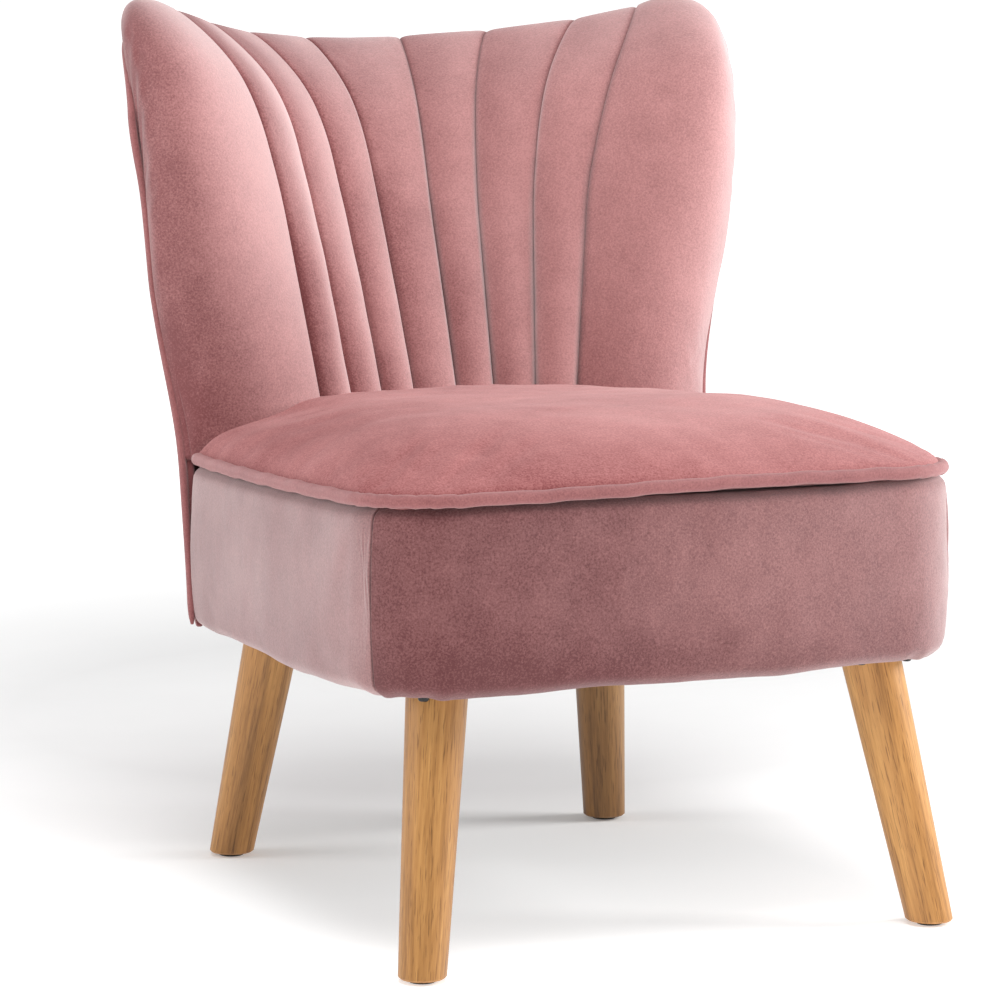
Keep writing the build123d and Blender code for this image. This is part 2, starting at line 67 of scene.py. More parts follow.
SEAT_BOTTOM = 214
SEAT_LINE = 365             # height of the piping at the front
SEAT_FALL = 0.0235          # its drop for each millimetre towards the back
PIPING_RADIUS = 5.2
CROWN = 47                  # rise of the cushion above the piping
CROWN_MIDDLE = 215
HALF_WIDTH = 256
FRONT_BOW = 18
CORNER_RADIUS = 60
BORDER_END = 420
BORDER_SPARE = 0.02         # how far round its outline a side border runs on, to the welt
BORDER_SEAMS = 1.3, 3.7     # places of the two sewn corners round the outline
CUSHION_LENGTH = 470

# The back's five stations on each side: (x, distance behind the seat front) at two heights.
LOW_LEVEL, HIGH_LEVEL = 407, 621
INNER_LOW = [(0, 481), (54, 474), (122, 446), (222, 416), (247, 426)]
INNER_HIGH = [(0, 566), (68, 548), (151, 480), (259, 437), (281, 458)]
OUTER_LOW = [(0, 555), (117, 545), (198, 506), (241, 459), (253, 429)]
OUTER_HIGH = [(0, 644), (110, 613), (205, 543), (266, 500), (281, 474)]
STATION_GIRTH = [0, 0.217, 0.548, 0.907, 1]     # how far round each station lies
BACK_FOOT = 362
CREST_DIP, CREST_PEAK, CREST_PEAK_X = 695, 738, 246
CREST_POWER = 1.5
HALF_SPREAD = 291           # one half of the back laid flat, at its widest
TIP_RADIUS = 84
SEAMS = [0.08, 0.217, 0.392, 0.548]             # the seams' places round one half of the back
EDGE_SET_BACK = 26          # how far the wings' edges lie back where they meet the seat
EDGE_LEVEL, EDGE_SPAN = 395, 115
TIP_FORWARD = 12
TIP_TAPER = 6
CHANNEL_PUFF = 9.5
WING_PUFF = 5
WELT_RADIUS = 3.5
WELT_DROP = 30              # how far the welt runs below the crest

front_y = cad_low.y + mm(1)


def at(behind_front):
    """Y in metres of a place this many millimetres behind the front of the seat."""
    return front_y + mm(behind_front)


# ---------------------------------------------------------------- the shape of the back


def spline_shares(places, knots):
    """Weights of a natural cubic spline through the knots, one row for each place along it."""
    knots = np.asarray(knots, float)
    count = len(knots)
    gap = np.diff(knots)
    system = np.eye(count)
    load = np.zeros((count, count))
    for k in range(1, count - 1):
        system[k, k - 1:k + 2] = gap[k - 1], 2 * (gap[k - 1] + gap[k]), gap[k]
        load[k, k - 1:k + 2] = 6 / gap[k - 1], -6 / gap[k - 1] - 6 / gap[k], 6 / gap[k]
    bend = np.linalg.solve(system, load)
    places = np.clip(places, knots[0], knots[-1])
    span = np.clip(np.searchsorted(knots, places, side="right") - 1, 0, count - 2)
    width = gap[span]
    after = (places - knots[span]) / width
    before = 1 - after
    rows = np.zeros((len(places), count))
    index = np.arange(len(places))
    rows[index, span] = before
    rows[index, span + 1] += after
    rows += ((before ** 3 - before) * width ** 2 / 6)[:, None] * bend[span]
    rows += ((after ** 3 - after) * width ** 2 / 6)[:, None] * bend[span + 1]
    return rows


def both_sides(stations):
    """Stations of the right half, mirrored and joined into one run from left to right."""
    right = np.array(stations, float)
    left = right[:0:-1] * (-1, 1)
    return np.vstack([left, right])


KNOTS = [-g for g in STATION_GIRTH[:0:-1]] + STATION_GIRTH
CURVES = [both_sides(s) for s in (INNER_LOW, INNER_HIGH, OUTER_LOW, OUTER_HIGH)]


def back_point(girth, level, share):
    """Places on the back in metres: round it (-1 to 1), at a height in mm, inside 0 to outside 1."""
    places = (np.asarray(v, float) for v in (girth, level, share))
    girth, level, share = np.broadcast_arrays(*places)
    shape = girth.shape
    girth, level, share = girth.ravel(), level.ravel(), share.ravel()
    weights = spline_shares(girth, KNOTS)
    easing = 14
    lean = BACK_FOOT + easing * np.log1p(np.exp((level - BACK_FOOT) / easing))
    rise = ((lean - LOW_LEVEL) / (HIGH_LEVEL - LOW_LEVEL))[:, None]
    inner_low, inner_high, outer_low, outer_high = (weights @ c for c in CURVES)
    inner = inner_low + (inner_high - inner_low) * rise
    outer = outer_low + (outer_high - outer_low) * rise
    plan = inner + (outer - inner) * share[:, None]
    rim = np.clip((np.abs(girth) - 0.55) / 0.45, 0, 1) ** 2
    set_back = EDGE_SET_BACK * np.exp(-((level - EDGE_LEVEL) / EDGE_SPAN) ** 2)
    set_forward = TIP_FORWARD * np.clip((level - 490) / 120, 0, 1)
    taper = TIP_TAPER * np.clip((level - 500) / 130, 0, 1.5) ** 1.2
    taper = taper + 3 * np.exp(-((level - 400) / 60) ** 2)
    plan[:, 1] += rim * (set_back - set_forward)
    plan[:, 0] -= np.sign(girth) * rim * taper
    points = np.column_stack([mm(plan[:, 0]), front_y + mm(plan[:, 1]), mm(level)])
    return points.reshape(*shape, 3)


def crest_level(girth):
    """Height of the crest in mm: a dip in the middle, and a rounded tip on each wing."""
    girth = np.abs(np.asarray(girth, float))
    across = girth * HALF_SPREAD
    level = CREST_DIP + (CREST_PEAK - CREST_DIP) * (across / CREST_PEAK_X) ** CREST_POWER
    past = np.clip(across - (HALF_SPREAD - TIP_RADIUS), 0, TIP_RADIUS * 0.985)
    return level - (TIP_RADIUS - np.sqrt(TIP_RADIUS ** 2 - past ** 2))


# ---------------------------------------------------------------- mesh helpers


def coordinates(mesh):
    flat = np.empty(len(mesh.vertices) * 3)
    mesh.vertices.foreach_get("co", flat)
    return flat.reshape(-1, 3)


def set_coordinates(mesh, points):
    mesh.vertices.foreach_set("co", np.asarray(points, float).ravel())
    mesh.update()


def normals(mesh):
    flat = np.empty(len(mesh.vertices) * 3)
    mesh.vertex_normals.foreach_get("vector", flat)
    return flat.reshape(-1, 3)


def piece_from(bm, name, material):
    """Turns a bmesh into a shown, smoothly shaded piece."""
    mesh = bpy.data.meshes.new(name)
    bm.to_mesh(mesh)
    bm.free()
    mesh.polygons.foreach_set("use_smooth", [True] * len(mesh.polygons))
    mesh.materials.append(material)
    piece = bpy.data.objects.new(name, mesh)
    bpy.context.collection.objects.link(piece)
    return piece


def join_into(bm, other):
    """Adds another bmesh to this one and frees it."""
    spare = bpy.data.meshes.new("spare")
    other.to_mesh(spare)
    other.free()
    bm.from_mesh(spare)
    bpy.data.meshes.remove(spare)


def shaped_grid(across, up, place):
    """A cloth of across by up squares, each corner put where place(u, v) says; u and v run 0 to 1."""
    bm = bmesh.new()
    bmesh.ops.create_grid(bm, x_segments=across, y_segments=up, size=0.5)
    flat = np.array([v.co[:] for v in bm.verts])
    points = place(flat[:, 0] + 0.5, flat[:, 1] + 0.5)
    for vertex, point in zip(bm.verts, points):
        vertex.co = point
    return bm


def smooth_noise(points, size, seed, octaves=3):
    """Soft seeded waves over some points, roughly -1 to 1; size is the wave's length in metres."""
    draw = np.random.default_rng(seed)
    total = np.zeros(len(points))
    weight = 0
    for octave in range(octaves):
        for _ in range(6):
            direction = draw.normal(size=3)
            direction /= np.linalg.norm(direction)
            phase = draw.uniform(0, 2 * pi)
            stretch = draw.uniform(0.7, 1.4) * 2 ** octave
            total += np.sin(points @ direction * 2 * pi * stretch / size + phase) / 2 ** octave
            weight += 1 / 2 ** octave
    return total / weight * 3


CLOTH_FRAMES = 18


def mark_held(piece, weights):
    """Says how firmly each vertex is sewn down when the padding is blown up."""
    attribute = piece.data.attributes.new("held", "FLOAT", "POINT")
    attribute.data.foreach_set("value", np.asarray(weights, np.float32))


def paint_shading(piece, painted_shading):
    """Paints light and shade onto a piece, vertex by vertex, as an attribute that the velvet reads."""
    attribute = piece.data.attributes.new("painted_shading", "FLOAT", "POINT")
    attribute.data.foreach_set("value", np.clip(painted_shading, -2, 1).astype(np.float32))


def held_of(piece):
    weights = np.zeros(len(piece.data.vertices), np.float32)
    piece.data.attributes["held"].data.foreach_get("value", weights)
    return weights


def inflate(jobs):
    """Blows the padded pieces up together as cloth; a job is (piece, pressure, most a point moves)."""
    for piece, pressure, _ in jobs:
        group = piece.vertex_groups.new(name="held")
        weights = held_of(piece)
        for level in range(1, 11):
            chosen = np.flatnonzero(np.round(weights * 10) == level)
            if len(chosen):
                group.add(chosen.tolist(), level / 10, "REPLACE")
        cloth = piece.modifiers.new("cloth", "CLOTH")
        settings = cloth.settings
        settings.vertex_group_mass = "held"
        settings.quality = 4
        settings.mass = 0.25
        settings.tension_stiffness = 12
        settings.compression_stiffness = 12
        settings.shear_stiffness = 5
        settings.bending_stiffness = 0.5
        settings.use_pressure = True
        settings.uniform_pressure_force = pressure
        settings.effector_weights.gravity = 0
        cloth.point_cache.frame_end = CLOTH_FRAMES
    scene = bpy.context.scene
    for frame_number in range(1, CLOTH_FRAMES + 1):
        scene.frame_set(frame_number)
    graph = bpy.context.evaluated_depsgraph_get()
    for piece, _, cap in jobs:
        blown = piece.evaluated_get(graph)
        after = coordinates(blown.to_mesh())
        blown.to_mesh_clear()
        before = coordinates(piece.data)
        move = np.nan_to_num(after - before)
        length = np.linalg.norm(move, axis=1, keepdims=True)
        move *= np.tanh(length / cap) * cap / np.maximum(length, 1e-9)
        piece.modifiers.remove(piece.modifiers["cloth"])
        piece.vertex_groups.remove(piece.vertex_groups["held"])
        set_coordinates(piece.data, before + move)
    scene.frame_set(1)


def refine(piece, levels=1):
    surface = piece.modifiers.new("finer", "SUBSURF")
    surface.levels = levels
    surface.render_levels = levels


def tube(name, points, radius, material, cyclic=False):
    """A covered cord through some points, with closed rounded ends."""
    curve = bpy.data.curves.new(name, "CURVE")
    curve.dimensions = "3D"
    curve.bevel_depth = radius
    curve.bevel_resolution = 5
    curve.use_fill_caps = True
    spline = curve.splines.new("POLY")
    spline.points.add(len(points) - 1)
    for point, place in zip(spline.points, points):
        point.co = (*place, 1)
    spline.use_cyclic_u = cyclic
    if not cyclic:
        for step, share in enumerate((0.35, 0.75, 0.93)):
            spline.points[step].radius = share
            spline.points[-1 - step].radius = share
    curve.materials.append(material)
    piece = bpy.data.objects.new(name, curve)
    bpy.context.collection.objects.link(piece)
    mesh = bpy.data.meshes.new_from_object(piece.evaluated_get(bpy.context.evaluated_depsgraph_get()))
    mesh.polygons.foreach_set("use_smooth", [True] * len(mesh.polygons))
    bpy.data.objects.remove(piece)
    bpy.data.curves.remove(curve)
    mesh.name = name
    piece = bpy.data.objects.new(name, mesh)
    bpy.context.collection.objects.link(piece)
    return piece


# ---------------------------------------------------------------- materials


def new_material(name):
    material = bpy.data.materials.new(name)
    material.use_nodes = True
    tree = material.node_tree
    shader = tree.nodes["Principled BSDF"]
    return material, tree, shader


def node(tree, kind, **values):
    made = tree.nodes.new(kind)
    for key, value in values.items():
        if hasattr(made, key):
            setattr(made, key, value)
        else:
            made.inputs[key.replace("_", " ")].default_value = value
    return made


def velvet(name, deep, light, sheen=0.75, pile=1.0, fuzz=0.7):
    """Short-pile velvet: patches of random tone, fine mottled pile and a pale sheen.

    A piece's per-vertex shading attribute is painted light and shade: -1 shows the deep tone and the
    least sheen, 1 the pale tone and the most.
    """
    material, tree, shader = new_material(name)
    link = tree.links.new
    place = node(tree, "ShaderNodeTexCoord")
    patches = node(tree, "ShaderNodeTexNoise", Scale=5.5, Detail=3.0, Roughness=0.5)
    streaks = node(tree, "ShaderNodeTexNoise", Scale=38.0, Detail=4.0, Roughness=0.62)
    mottle = node(tree, "ShaderNodeTexNoise", Scale=620.0, Detail=3.0, Roughness=0.7)
    for texture in (patches, streaks, mottle):
        link(place.outputs["Object"], texture.inputs["Vector"])
    soft = node(tree, "ShaderNodeMath", operation="MULTIPLY_ADD")
    soft.inputs[1].default_value = 0.26
    link(patches.outputs["Fac"], soft.inputs[0])
    finer = node(tree, "ShaderNodeMath", operation="MULTIPLY")
    finer.inputs[1].default_value = 0.20
    link(streaks.outputs["Fac"], finer.inputs[0])
    link(finer.outputs[0], soft.inputs[2])
    grain = node(tree, "ShaderNodeMath", operation="MULTIPLY_ADD")
    grain.inputs[1].default_value = 0.62 * pile
    link(mottle.outputs["Fac"], grain.inputs[0])
    link(soft.outputs[0], grain.inputs[2])
    # Painted light and shade: each piece's per-vertex attribute moves the tone between deep and pale.
    painted_shading = node(tree, "ShaderNodeAttribute", attribute_name="painted_shading")
    grain_and_shading = node(tree, "ShaderNodeMath", operation="MULTIPLY_ADD")
    grain_and_shading.inputs[1].default_value = 0.15
    link(painted_shading.outputs["Fac"], grain_and_shading.inputs[0])
    link(grain.outputs[0], grain_and_shading.inputs[2])
    tones = node(tree, "ShaderNodeValToRGB")
    tones.color_ramp.elements[0].position = 0.34
    tones.color_ramp.elements[0].color = (*deep, 1)
    tones.color_ramp.elements[1].position = 0.74
    tones.color_ramp.elements[1].color = (*light, 1)
    link(grain_and_shading.outputs[0], tones.inputs["Fac"])
    link(tones.outputs["Color"], shader.inputs["Base Color"])
    shader.inputs["Roughness"].default_value = 0.82
    shader.inputs["Specular IOR Level"].default_value = 0.15
    # Painted sheen: the sheen's weight follows the painted light and shade, least in the shaded places.
    painted_sheen = node(tree, "ShaderNodeMapRange")
    painted_sheen.inputs["From Min"].default_value = -1
    painted_sheen.inputs["To Min"].default_value = sheen * 0.35
    painted_sheen.inputs["To Max"].default_value = min(sheen * 1.45, 1)
    link(painted_shading.outputs["Fac"], painted_sheen.inputs["Value"])
    link(painted_sheen.outputs["Result"], shader.inputs["Sheen Weight"])
    shader.inputs["Sheen Roughness"].default_value = fuzz
    shader.inputs["Sheen Tint"].default_value = (1.0, 0.93, 0.93, 1)
    lift = node(tree, "ShaderNodeBump", Strength=0.35 * pile, Distance=0.0006)
    link(mottle.outputs["Fac"], lift.inputs["Height"])
    lift_more = node(tree, "ShaderNodeBump", Strength=0.18, Distance=0.003)
    link(streaks.outputs["Fac"], lift_more.inputs["Height"])
    link(lift.outputs["Normal"], lift_more.inputs["Normal"])
    link(lift_more.outputs["Normal"], shader.inputs["Normal"])
    return material


def oak(name, lean, spot, tone=1.0):
    """Pale hardwood with a fine grain along the leg; lean turns the grain onto the leg's line; tone
    brightens or darkens its whole colour, painting light and shade on that leg.
    """
    material, tree, shader = new_material(name)
    link = tree.links.new
    place = node(tree, "ShaderNodeTexCoord")
    onto_leg = node(tree, "ShaderNodeMapping", vector_type="TEXTURE")
    onto_leg.inputs["Location"].default_value = spot
    onto_leg.inputs["Rotation"].default_value = lean
    link(place.outputs["Object"], onto_leg.inputs["Vector"])
    stretched = node(tree, "ShaderNodeMapping")
    stretched.inputs["Scale"].default_value = (1, 1, 0.045)
    link(onto_leg.outputs["Vector"], stretched.inputs["Vector"])
    fibres = node(tree, "ShaderNodeTexNoise", Scale=420.0, Detail=5.0, Roughness=0.65)
    figure = node(tree, "ShaderNodeTexNoise", Scale=70.0, Detail=3.0, Roughness=0.55, Distortion=0.4)
    pores = node(tree, "ShaderNodeTexNoise", Scale=950.0, Detail=2.0, Roughness=0.5)
    for texture in (fibres, figure, pores):
        link(stretched.outputs["Vector"], texture.inputs["Vector"])
    mix = node(tree, "ShaderNodeMath", operation="MULTIPLY_ADD")
    mix.inputs[1].default_value = 0.55
    link(figure.outputs["Fac"], mix.inputs[0])
    half = node(tree, "ShaderNodeMath", operation="MULTIPLY")
    half.inputs[1].default_value = 0.45
    link(fibres.outputs["Fac"], half.inputs[0])
    link(half.outputs[0], mix.inputs[2])
    tones = node(tree, "ShaderNodeValToRGB")
    ramp = tones.color_ramp
    ramp.elements[0].position = 0.32
    ramp.elements[0].color = (0.17 * tone, 0.070 * tone, 0.015 * tone, 1)
    ramp.elements[1].position = 0.68
    ramp.elements[1].color = (0.56 * tone, 0.29 * tone, 0.090 * tone, 1)
    middle = ramp.elements.new(0.5)
    middle.color = (0.40 * tone, 0.185 * tone, 0.050 * tone, 1)
    link(mix.outputs[0], tones.inputs["Fac"])
    dark_pores = node(tree, "ShaderNodeValToRGB")
    dark_pores.color_ramp.elements[0].position = 0.33
    dark_pores.color_ramp.elements[0].color = (0.45, 0.40, 0.36, 1)
    dark_pores.color_ramp.elements[1].position = 0.42
    dark_pores.color_ramp.elements[1].color = (1, 1, 1, 1)
    link(pores.outputs["Fac"], dark_pores.inputs["Fac"])
    both = node(tree, "ShaderNodeMix", data_type="RGBA", blend_type="MULTIPLY")
    both.inputs["Factor"].default_value = 0.8
    link(tones.outputs["Color"], both.inputs[6])
    link(dark_pores.outputs["Color"], both.inputs[7])
    link(both.outputs[2], shader.inputs["Base Color"])
    shine = node(tree, "ShaderNodeMapRange")
    shine.inputs["To Min"].default_value = 0.36
    shine.inputs["To Max"].default_value = 0.52
    link(fibres.outputs["Fac"], shine.inputs["Value"])
    link(shine.outputs["Result"], shader.inputs["Roughness"])
    lift = node(tree, "ShaderNodeBump", Strength=0.25, Distance=0.0004)
    link(pores.outputs["Fac"], lift.inputs["Height"])
    link(lift.outputs["Normal"], shader.inputs["Normal"])
    return material


def plain(name, dark, light, roughness, metallic=0.0, scale=160.0, bump=0.15):
    """A slightly uneven finish between two tones."""
    material, tree, shader = new_material(name)
    link = tree.links.new
    place = node(tree, "ShaderNodeTexCoord")
    texture = node(tree, "ShaderNodeTexNoise", Scale=scale, Detail=4.0, Roughness=0.6)
    link(place.outputs["Object"], texture.inputs["Vector"])
    tones = node(tree, "ShaderNodeValToRGB")
    tones.color_ramp.elements[0].position = 0.35
    tones.color_ramp.elements[0].color = (*dark, 1)
    tones.color_ramp.elements[1].position = 0.65
    tones.color_ramp.elements[1].color = (*light, 1)
    link(texture.outputs["Fac"], tones.inputs["Fac"])
    link(tones.outputs["Color"], shader.inputs["Base Color"])
    shine = node(tree, "ShaderNodeMapRange")
    shine.inputs["To Min"].default_value = roughness - 0.06
    shine.inputs["To Max"].default_value = roughness + 0.08
    link(texture.outputs["Fac"], shine.inputs["Value"])
    link(shine.outputs["Result"], shader.inputs["Roughness"])
    shader.inputs["Metallic"].default_value = metallic
    lift = node(tree, "ShaderNodeBump", Strength=bump, Distance=0.0005)
    link(texture.outputs["Fac"], lift.inputs["Height"])
    link(lift.outputs["Normal"], shader.inputs["Normal"])
    return material


ROSE_DEEP = (0.170, 0.038, 0.040)
ROSE_LIGHT = (0.470, 0.200, 0.195)
# Darker rose for the borders: painted shade.
SHADED_ROSE_DEEP = (0.120, 0.034, 0.036)
SHADED_ROSE_LIGHT = (0.350, 0.155, 0.150)

# Each part of the cover has its own copy of the velvet: the borders' copies are darker, as painted
# shade, the seat's copy is lighter, as painted light, and the sheen differs part by part.
back_velvet = velvet("back_velvet", ROSE_DEEP, ROSE_LIGHT, sheen=0.95, fuzz=0.65)
seat_velvet = velvet("seat_velvet", (0.21, 0.046, 0.048), (0.54, 0.220, 0.214), sheen=0.25, fuzz=0.6)
front_velvet = velvet("front_velvet", SHADED_ROSE_DEEP, SHADED_ROSE_LIGHT, sheen=0.9, fuzz=0.55)
side_velvet = velvet("side_velvet", SHADED_ROSE_DEEP, SHADED_ROSE_LIGHT, sheen=0.9, fuzz=0.7)
piping_velvet = velvet(
    "piping_velvet", (0.19, 0.046, 0.048), (0.42, 0.150, 0.146), sheen=0.35, pile=0.8
)
black_steel = plain("black_steel", (0.012, 0.012, 0.013), (0.03, 0.03, 0.032), 0.42, metallic=0.4)
zinc_steel = plain("zinc_steel", (0.45, 0.45, 0.46), (0.62, 0.62, 0.64), 0.35, metallic=1.0)
black_plastic = plain("black_plastic", (0.010, 0.010, 0.010), (0.02, 0.02, 0.02), 0.5, scale=700.0)
dust_cloth = plain(
    "dust_cloth", (0.006, 0.006, 0.006), (0.022, 0.022, 0.022), 0.95, scale=900.0, bump=0.6
)
raw_timber = plain("raw_timber", (0.50, 0.33, 0.17), (0.66, 0.48, 0.28), 0.7, scale=60.0)
seat_foam_finish = plain("seat_foam_finish", (0.70, 0.64, 0.42), (0.80, 0.75, 0.55), 0.95, scale=500.0)
strap_finish = plain("strap_finish", (0.02, 0.02, 0.022), (0.06, 0.06, 0.065), 0.85, scale=800.0)

# ---------------------------------------------------------------- camera, floor and light

camera_data = bpy.data.cameras.new("camera")
camera_data.lens = 151.6
camera_data.sensor_width = 36
camera = bpy.data.objects.new("camera", camera_data)
camera.location = (-1.523, -3.139, 0.7645)
look = Vector((0.4317, 0.8930, -0.1271))
camera.rotation_mode = "QUATERNION"
camera.rotation_quaternion = look.to_track_quat("-Z", "Y")
bpy.context.collection.objects.link(camera)
bpy.context.scene.camera = camera
bpy.context.scene.view_settings.view_transform = "Standard"

floor_bm = bmesh.new()
bmesh.ops.create_grid(floor_bm, x_segments=2, y_segments=2, size=60)
floor_finish = plain("pale_floor", (0.86, 0.86, 0.86), (0.88, 0.88, 0.88), 0.9, scale=3.0, bump=0.0)
floor_shader = floor_finish.node_tree.nodes["Principled BSDF"]
# The floor glows, brighter the further it lies from a point behind the chair: painted light, leaving a
# painted shadow round that point.
floor_shader.inputs["Emission Color"].default_value = (1, 1, 1, 1)
floor_tree = floor_finish.node_tree
floor_place = node(floor_tree, "ShaderNodeTexCoord")
painted_shadow_middle = node(floor_tree, "ShaderNodeVectorMath", operation="SUBTRACT")
painted_shadow_middle.inputs[1].default_value = (0.30, 0.75, 0)
painted_shadow_spread = node(floor_tree, "ShaderNodeVectorMath", operation="LENGTH")
painted_floor_light = node(floor_tree, "ShaderNodeMapRange")
painted_floor_light.inputs["From Min"].default_value = 0.45
painted_floor_light.inputs["From Max"].default_value = 1.7
painted_floor_light.inputs["To Min"].default_value = 0.02
painted_floor_light.inputs["To Max"].default_value = 0.9
floor_tree.links.new(floor_place.outputs["Object"], painted_shadow_middle.inputs[0])
floor_tree.links.new(painted_shadow_middle.outputs["Vector"], painted_shadow_spread.inputs[0])
floor_tree.links.new(painted_shadow_spread.outputs["Value"], painted_floor_light.inputs["Value"])
floor_tree.links.new(painted_floor_light.outputs["Result"], floor_shader.inputs["Emission Strength"])
floor = piece_from(floor_bm, "floor", floor_finish)

world = bpy.data.worlds.new("studio")
bpy.context.scene.world = world
world.use_nodes = True
fill = world.node_tree.nodes["Background"]
fill.inputs["Color"].default_value = (1, 1, 1, 1)
fill.inputs["Strength"].default_value = 0.30
backdrop = world.node_tree.nodes.new("ShaderNodeBackground")
backdrop.inputs["Color"].default_value = (1, 1, 1, 1)
backdrop.inputs["Strength"].default_value = 1.05
seen = world.node_tree.nodes.new("ShaderNodeLightPath")
either = world.node_tree.nodes.new("ShaderNodeMixShader")
world.node_tree.links.new(seen.outputs["Is Camera Ray"], either.inputs["Fac"])
world.node_tree.links.new(fill.outputs[0], either.inputs[1])
world.node_tree.links.new(backdrop.outputs[0], either.inputs[2])
world.node_tree.links.new(either.outputs[0], world.node_tree.nodes["World Output"].inputs["Surface"])


def soft_box(name, place, aim, size, power, tint=(1, 1, 1)):
    """A square studio light facing a point."""
    data = bpy.data.lights.new(name, "AREA")
    data.size = size
    data.energy = power
    data.color = tint
    light = bpy.data.objects.new(name, data)
    light.location = place
    light.rotation_mode = "QUATERNION"
    light.rotation_quaternion = (Vector(aim) - Vector(place)).to_track_quat("-Z", "Y")
    bpy.context.collection.objects.link(light)


soft_box("left", (-2.4, 0.7, 1.2), (0, 0, 0.35), 1.4, 22)
soft_box("right", (2.0, -0.75, 1.1), (0, 0, 0.45), 1.0, 46)
soft_box("front", (-0.45, -1.0, 3.1), (0, 0.1, 0.5), 1.6, 70)

# ---------------------------------------------------------------- seat


def seat_half(behind):
    """Half the seat's width in mm at a distance behind its front."""
    s = (np.asarray(behind, float) - 218) / 200
    return 262 - 4.45 * s - 10.45 * s ** 2


def bent(x, v, rear=None):
    """Carries nominal plan places onto the bowed seat."""
    share = x / HALF_WIDTH
    new_v = v + FRONT_BOW * share ** 2 * np.clip(1 - v / BORDER_END, 0, 1)
    if rear is not None:
        front = FRONT_BOW * share ** 2
        new_v = front + v * (rear(x) - front) / BORDER_END
    return x * seat_half(new_v) / HALF_WIDTH, new_v


def outline(s, inset):
    """Plan places (x, behind front) round the seat.

    s runs 0 to 1 along the left side, to 2 round the corner, to 3 along the front, to 4 round the
    other corner and to 5 along the right side.
    """
    s = np.asarray(s, float)
    half = HALF_WIDTH - inset
    radius = np.maximum(CORNER_RADIUS - inset, 1)
    mirror = np.where(s > 2.5, 1.0, -1.0)
    t = np.where(s > 2.5, 5 - s, s)
    angle = np.clip(t - 1, 0, 1) * pi / 2
    x = half - radius + radius * np.cos(angle)
    v = inset + radius - radius * np.sin(angle)
    x = np.where(t > 2, (half - radius) * (1 - (t - 2) * 2), x)
    v = np.where(t < 1, BORDER_END + (inset + radius - BORDER_END) * t, v)
    return bent(mirror * x, v)


def line_level(v):
    """Height in mm of the piping at a distance behind the front."""
    return SEAT_LINE - SEAT_FALL * np.asarray(v, float)


def front_rise(x, v):
    """The front piping is drawn up a little in the middle."""
    return 3.0 * np.exp(-((np.asarray(x) - 40) / 130) ** 2) * np.exp(-(np.asarray(v) / 40) ** 2)


def seat_piping():
    s = np.concatenate([
        np.linspace(0, 1, 60, endpoint=False), np.linspace(1, 2, 26, endpoint=False),
        np.linspace(2, 3, 90, endpoint=False), np.linspace(3, 4, 26, endpoint=False),
        np.linspace(4, 5, 61),
    ])
    inset = PIPING_RADIUS - 1.4
    x, v = outline(s, inset)
    z = line_level(v) + front_rise(x, v) + 0.35 * np.sin(s * 37) + 0.25 * np.sin(s * 71 + 1)
    points = [Vector((mm(a), at(b), mm(c))) for a, b, c in zip(x, v, z)]
    tuck = [Vector((mm(-4), mm(1.5), 0)), Vector((mm(-10), mm(2.5), 0)), Vector((mm(-16), mm(3), 0))]
    start, end = points[0], points[-1]
    before = [start + Vector((-t.x, t.y + mm(2), t.z)) for t in reversed(tuck)]
    after = [end + Vector((t.x, t.y + mm(2), t.z)) for t in tuck]
    return tube("seat_piping_cord", before + points + after, mm(PIPING_RADIUS), piping_velvet)


def rear_of_cushion(x):
    """How far back the cushion runs, just into the back's padding."""
    a = np.abs(np.asarray(x, float)) / 247
    return 481 - 33 * (a / 0.5) ** 2 / (1 + 0.06 * (a / 0.5) ** 4) + 75 * np.clip(a - 0.62, 0, 1) ** 1.5


def cushion_place(across, along, inset):
    """Nominal square to the seat's plan, with round front corners."""
    half = HALF_WIDTH - inset
    radius = CORNER_RADIUS - inset
    x = (across * 2 - 1) * half
    v = inset + along * (BORDER_END - inset)
    cx = np.clip(np.abs(x) - (half - radius), 0, radius)
    cv = np.clip((inset + radius) - v, 0, radius)
    x = np.sign(x) * (np.abs(x) - cx + cx * np.sqrt(1 - (cv / radius) ** 2 / 2))
    v = v + cv - cv * np.sqrt(1 - (cx / radius) ** 2 / 2)
    return bent(x, v, rear_of_cushion)


def crown_share(across, along):
    """How much of the crown's height there is at a place on the cushion."""
    u = np.abs(across * 2 - 1)
    sides = (1 - u ** 4.4) ** 0.5
    peak = CROWN_MIDDLE / CUSHION_LENGTH
    front = (1 - np.clip(1 - along / peak, 0, 1) ** 2.4) ** 0.62
    rear = 1 - 0.12 * np.clip((along - peak) / (1 - peak), 0, 1) ** 2
    return np.clip(sides, 0, 1) * front * rear


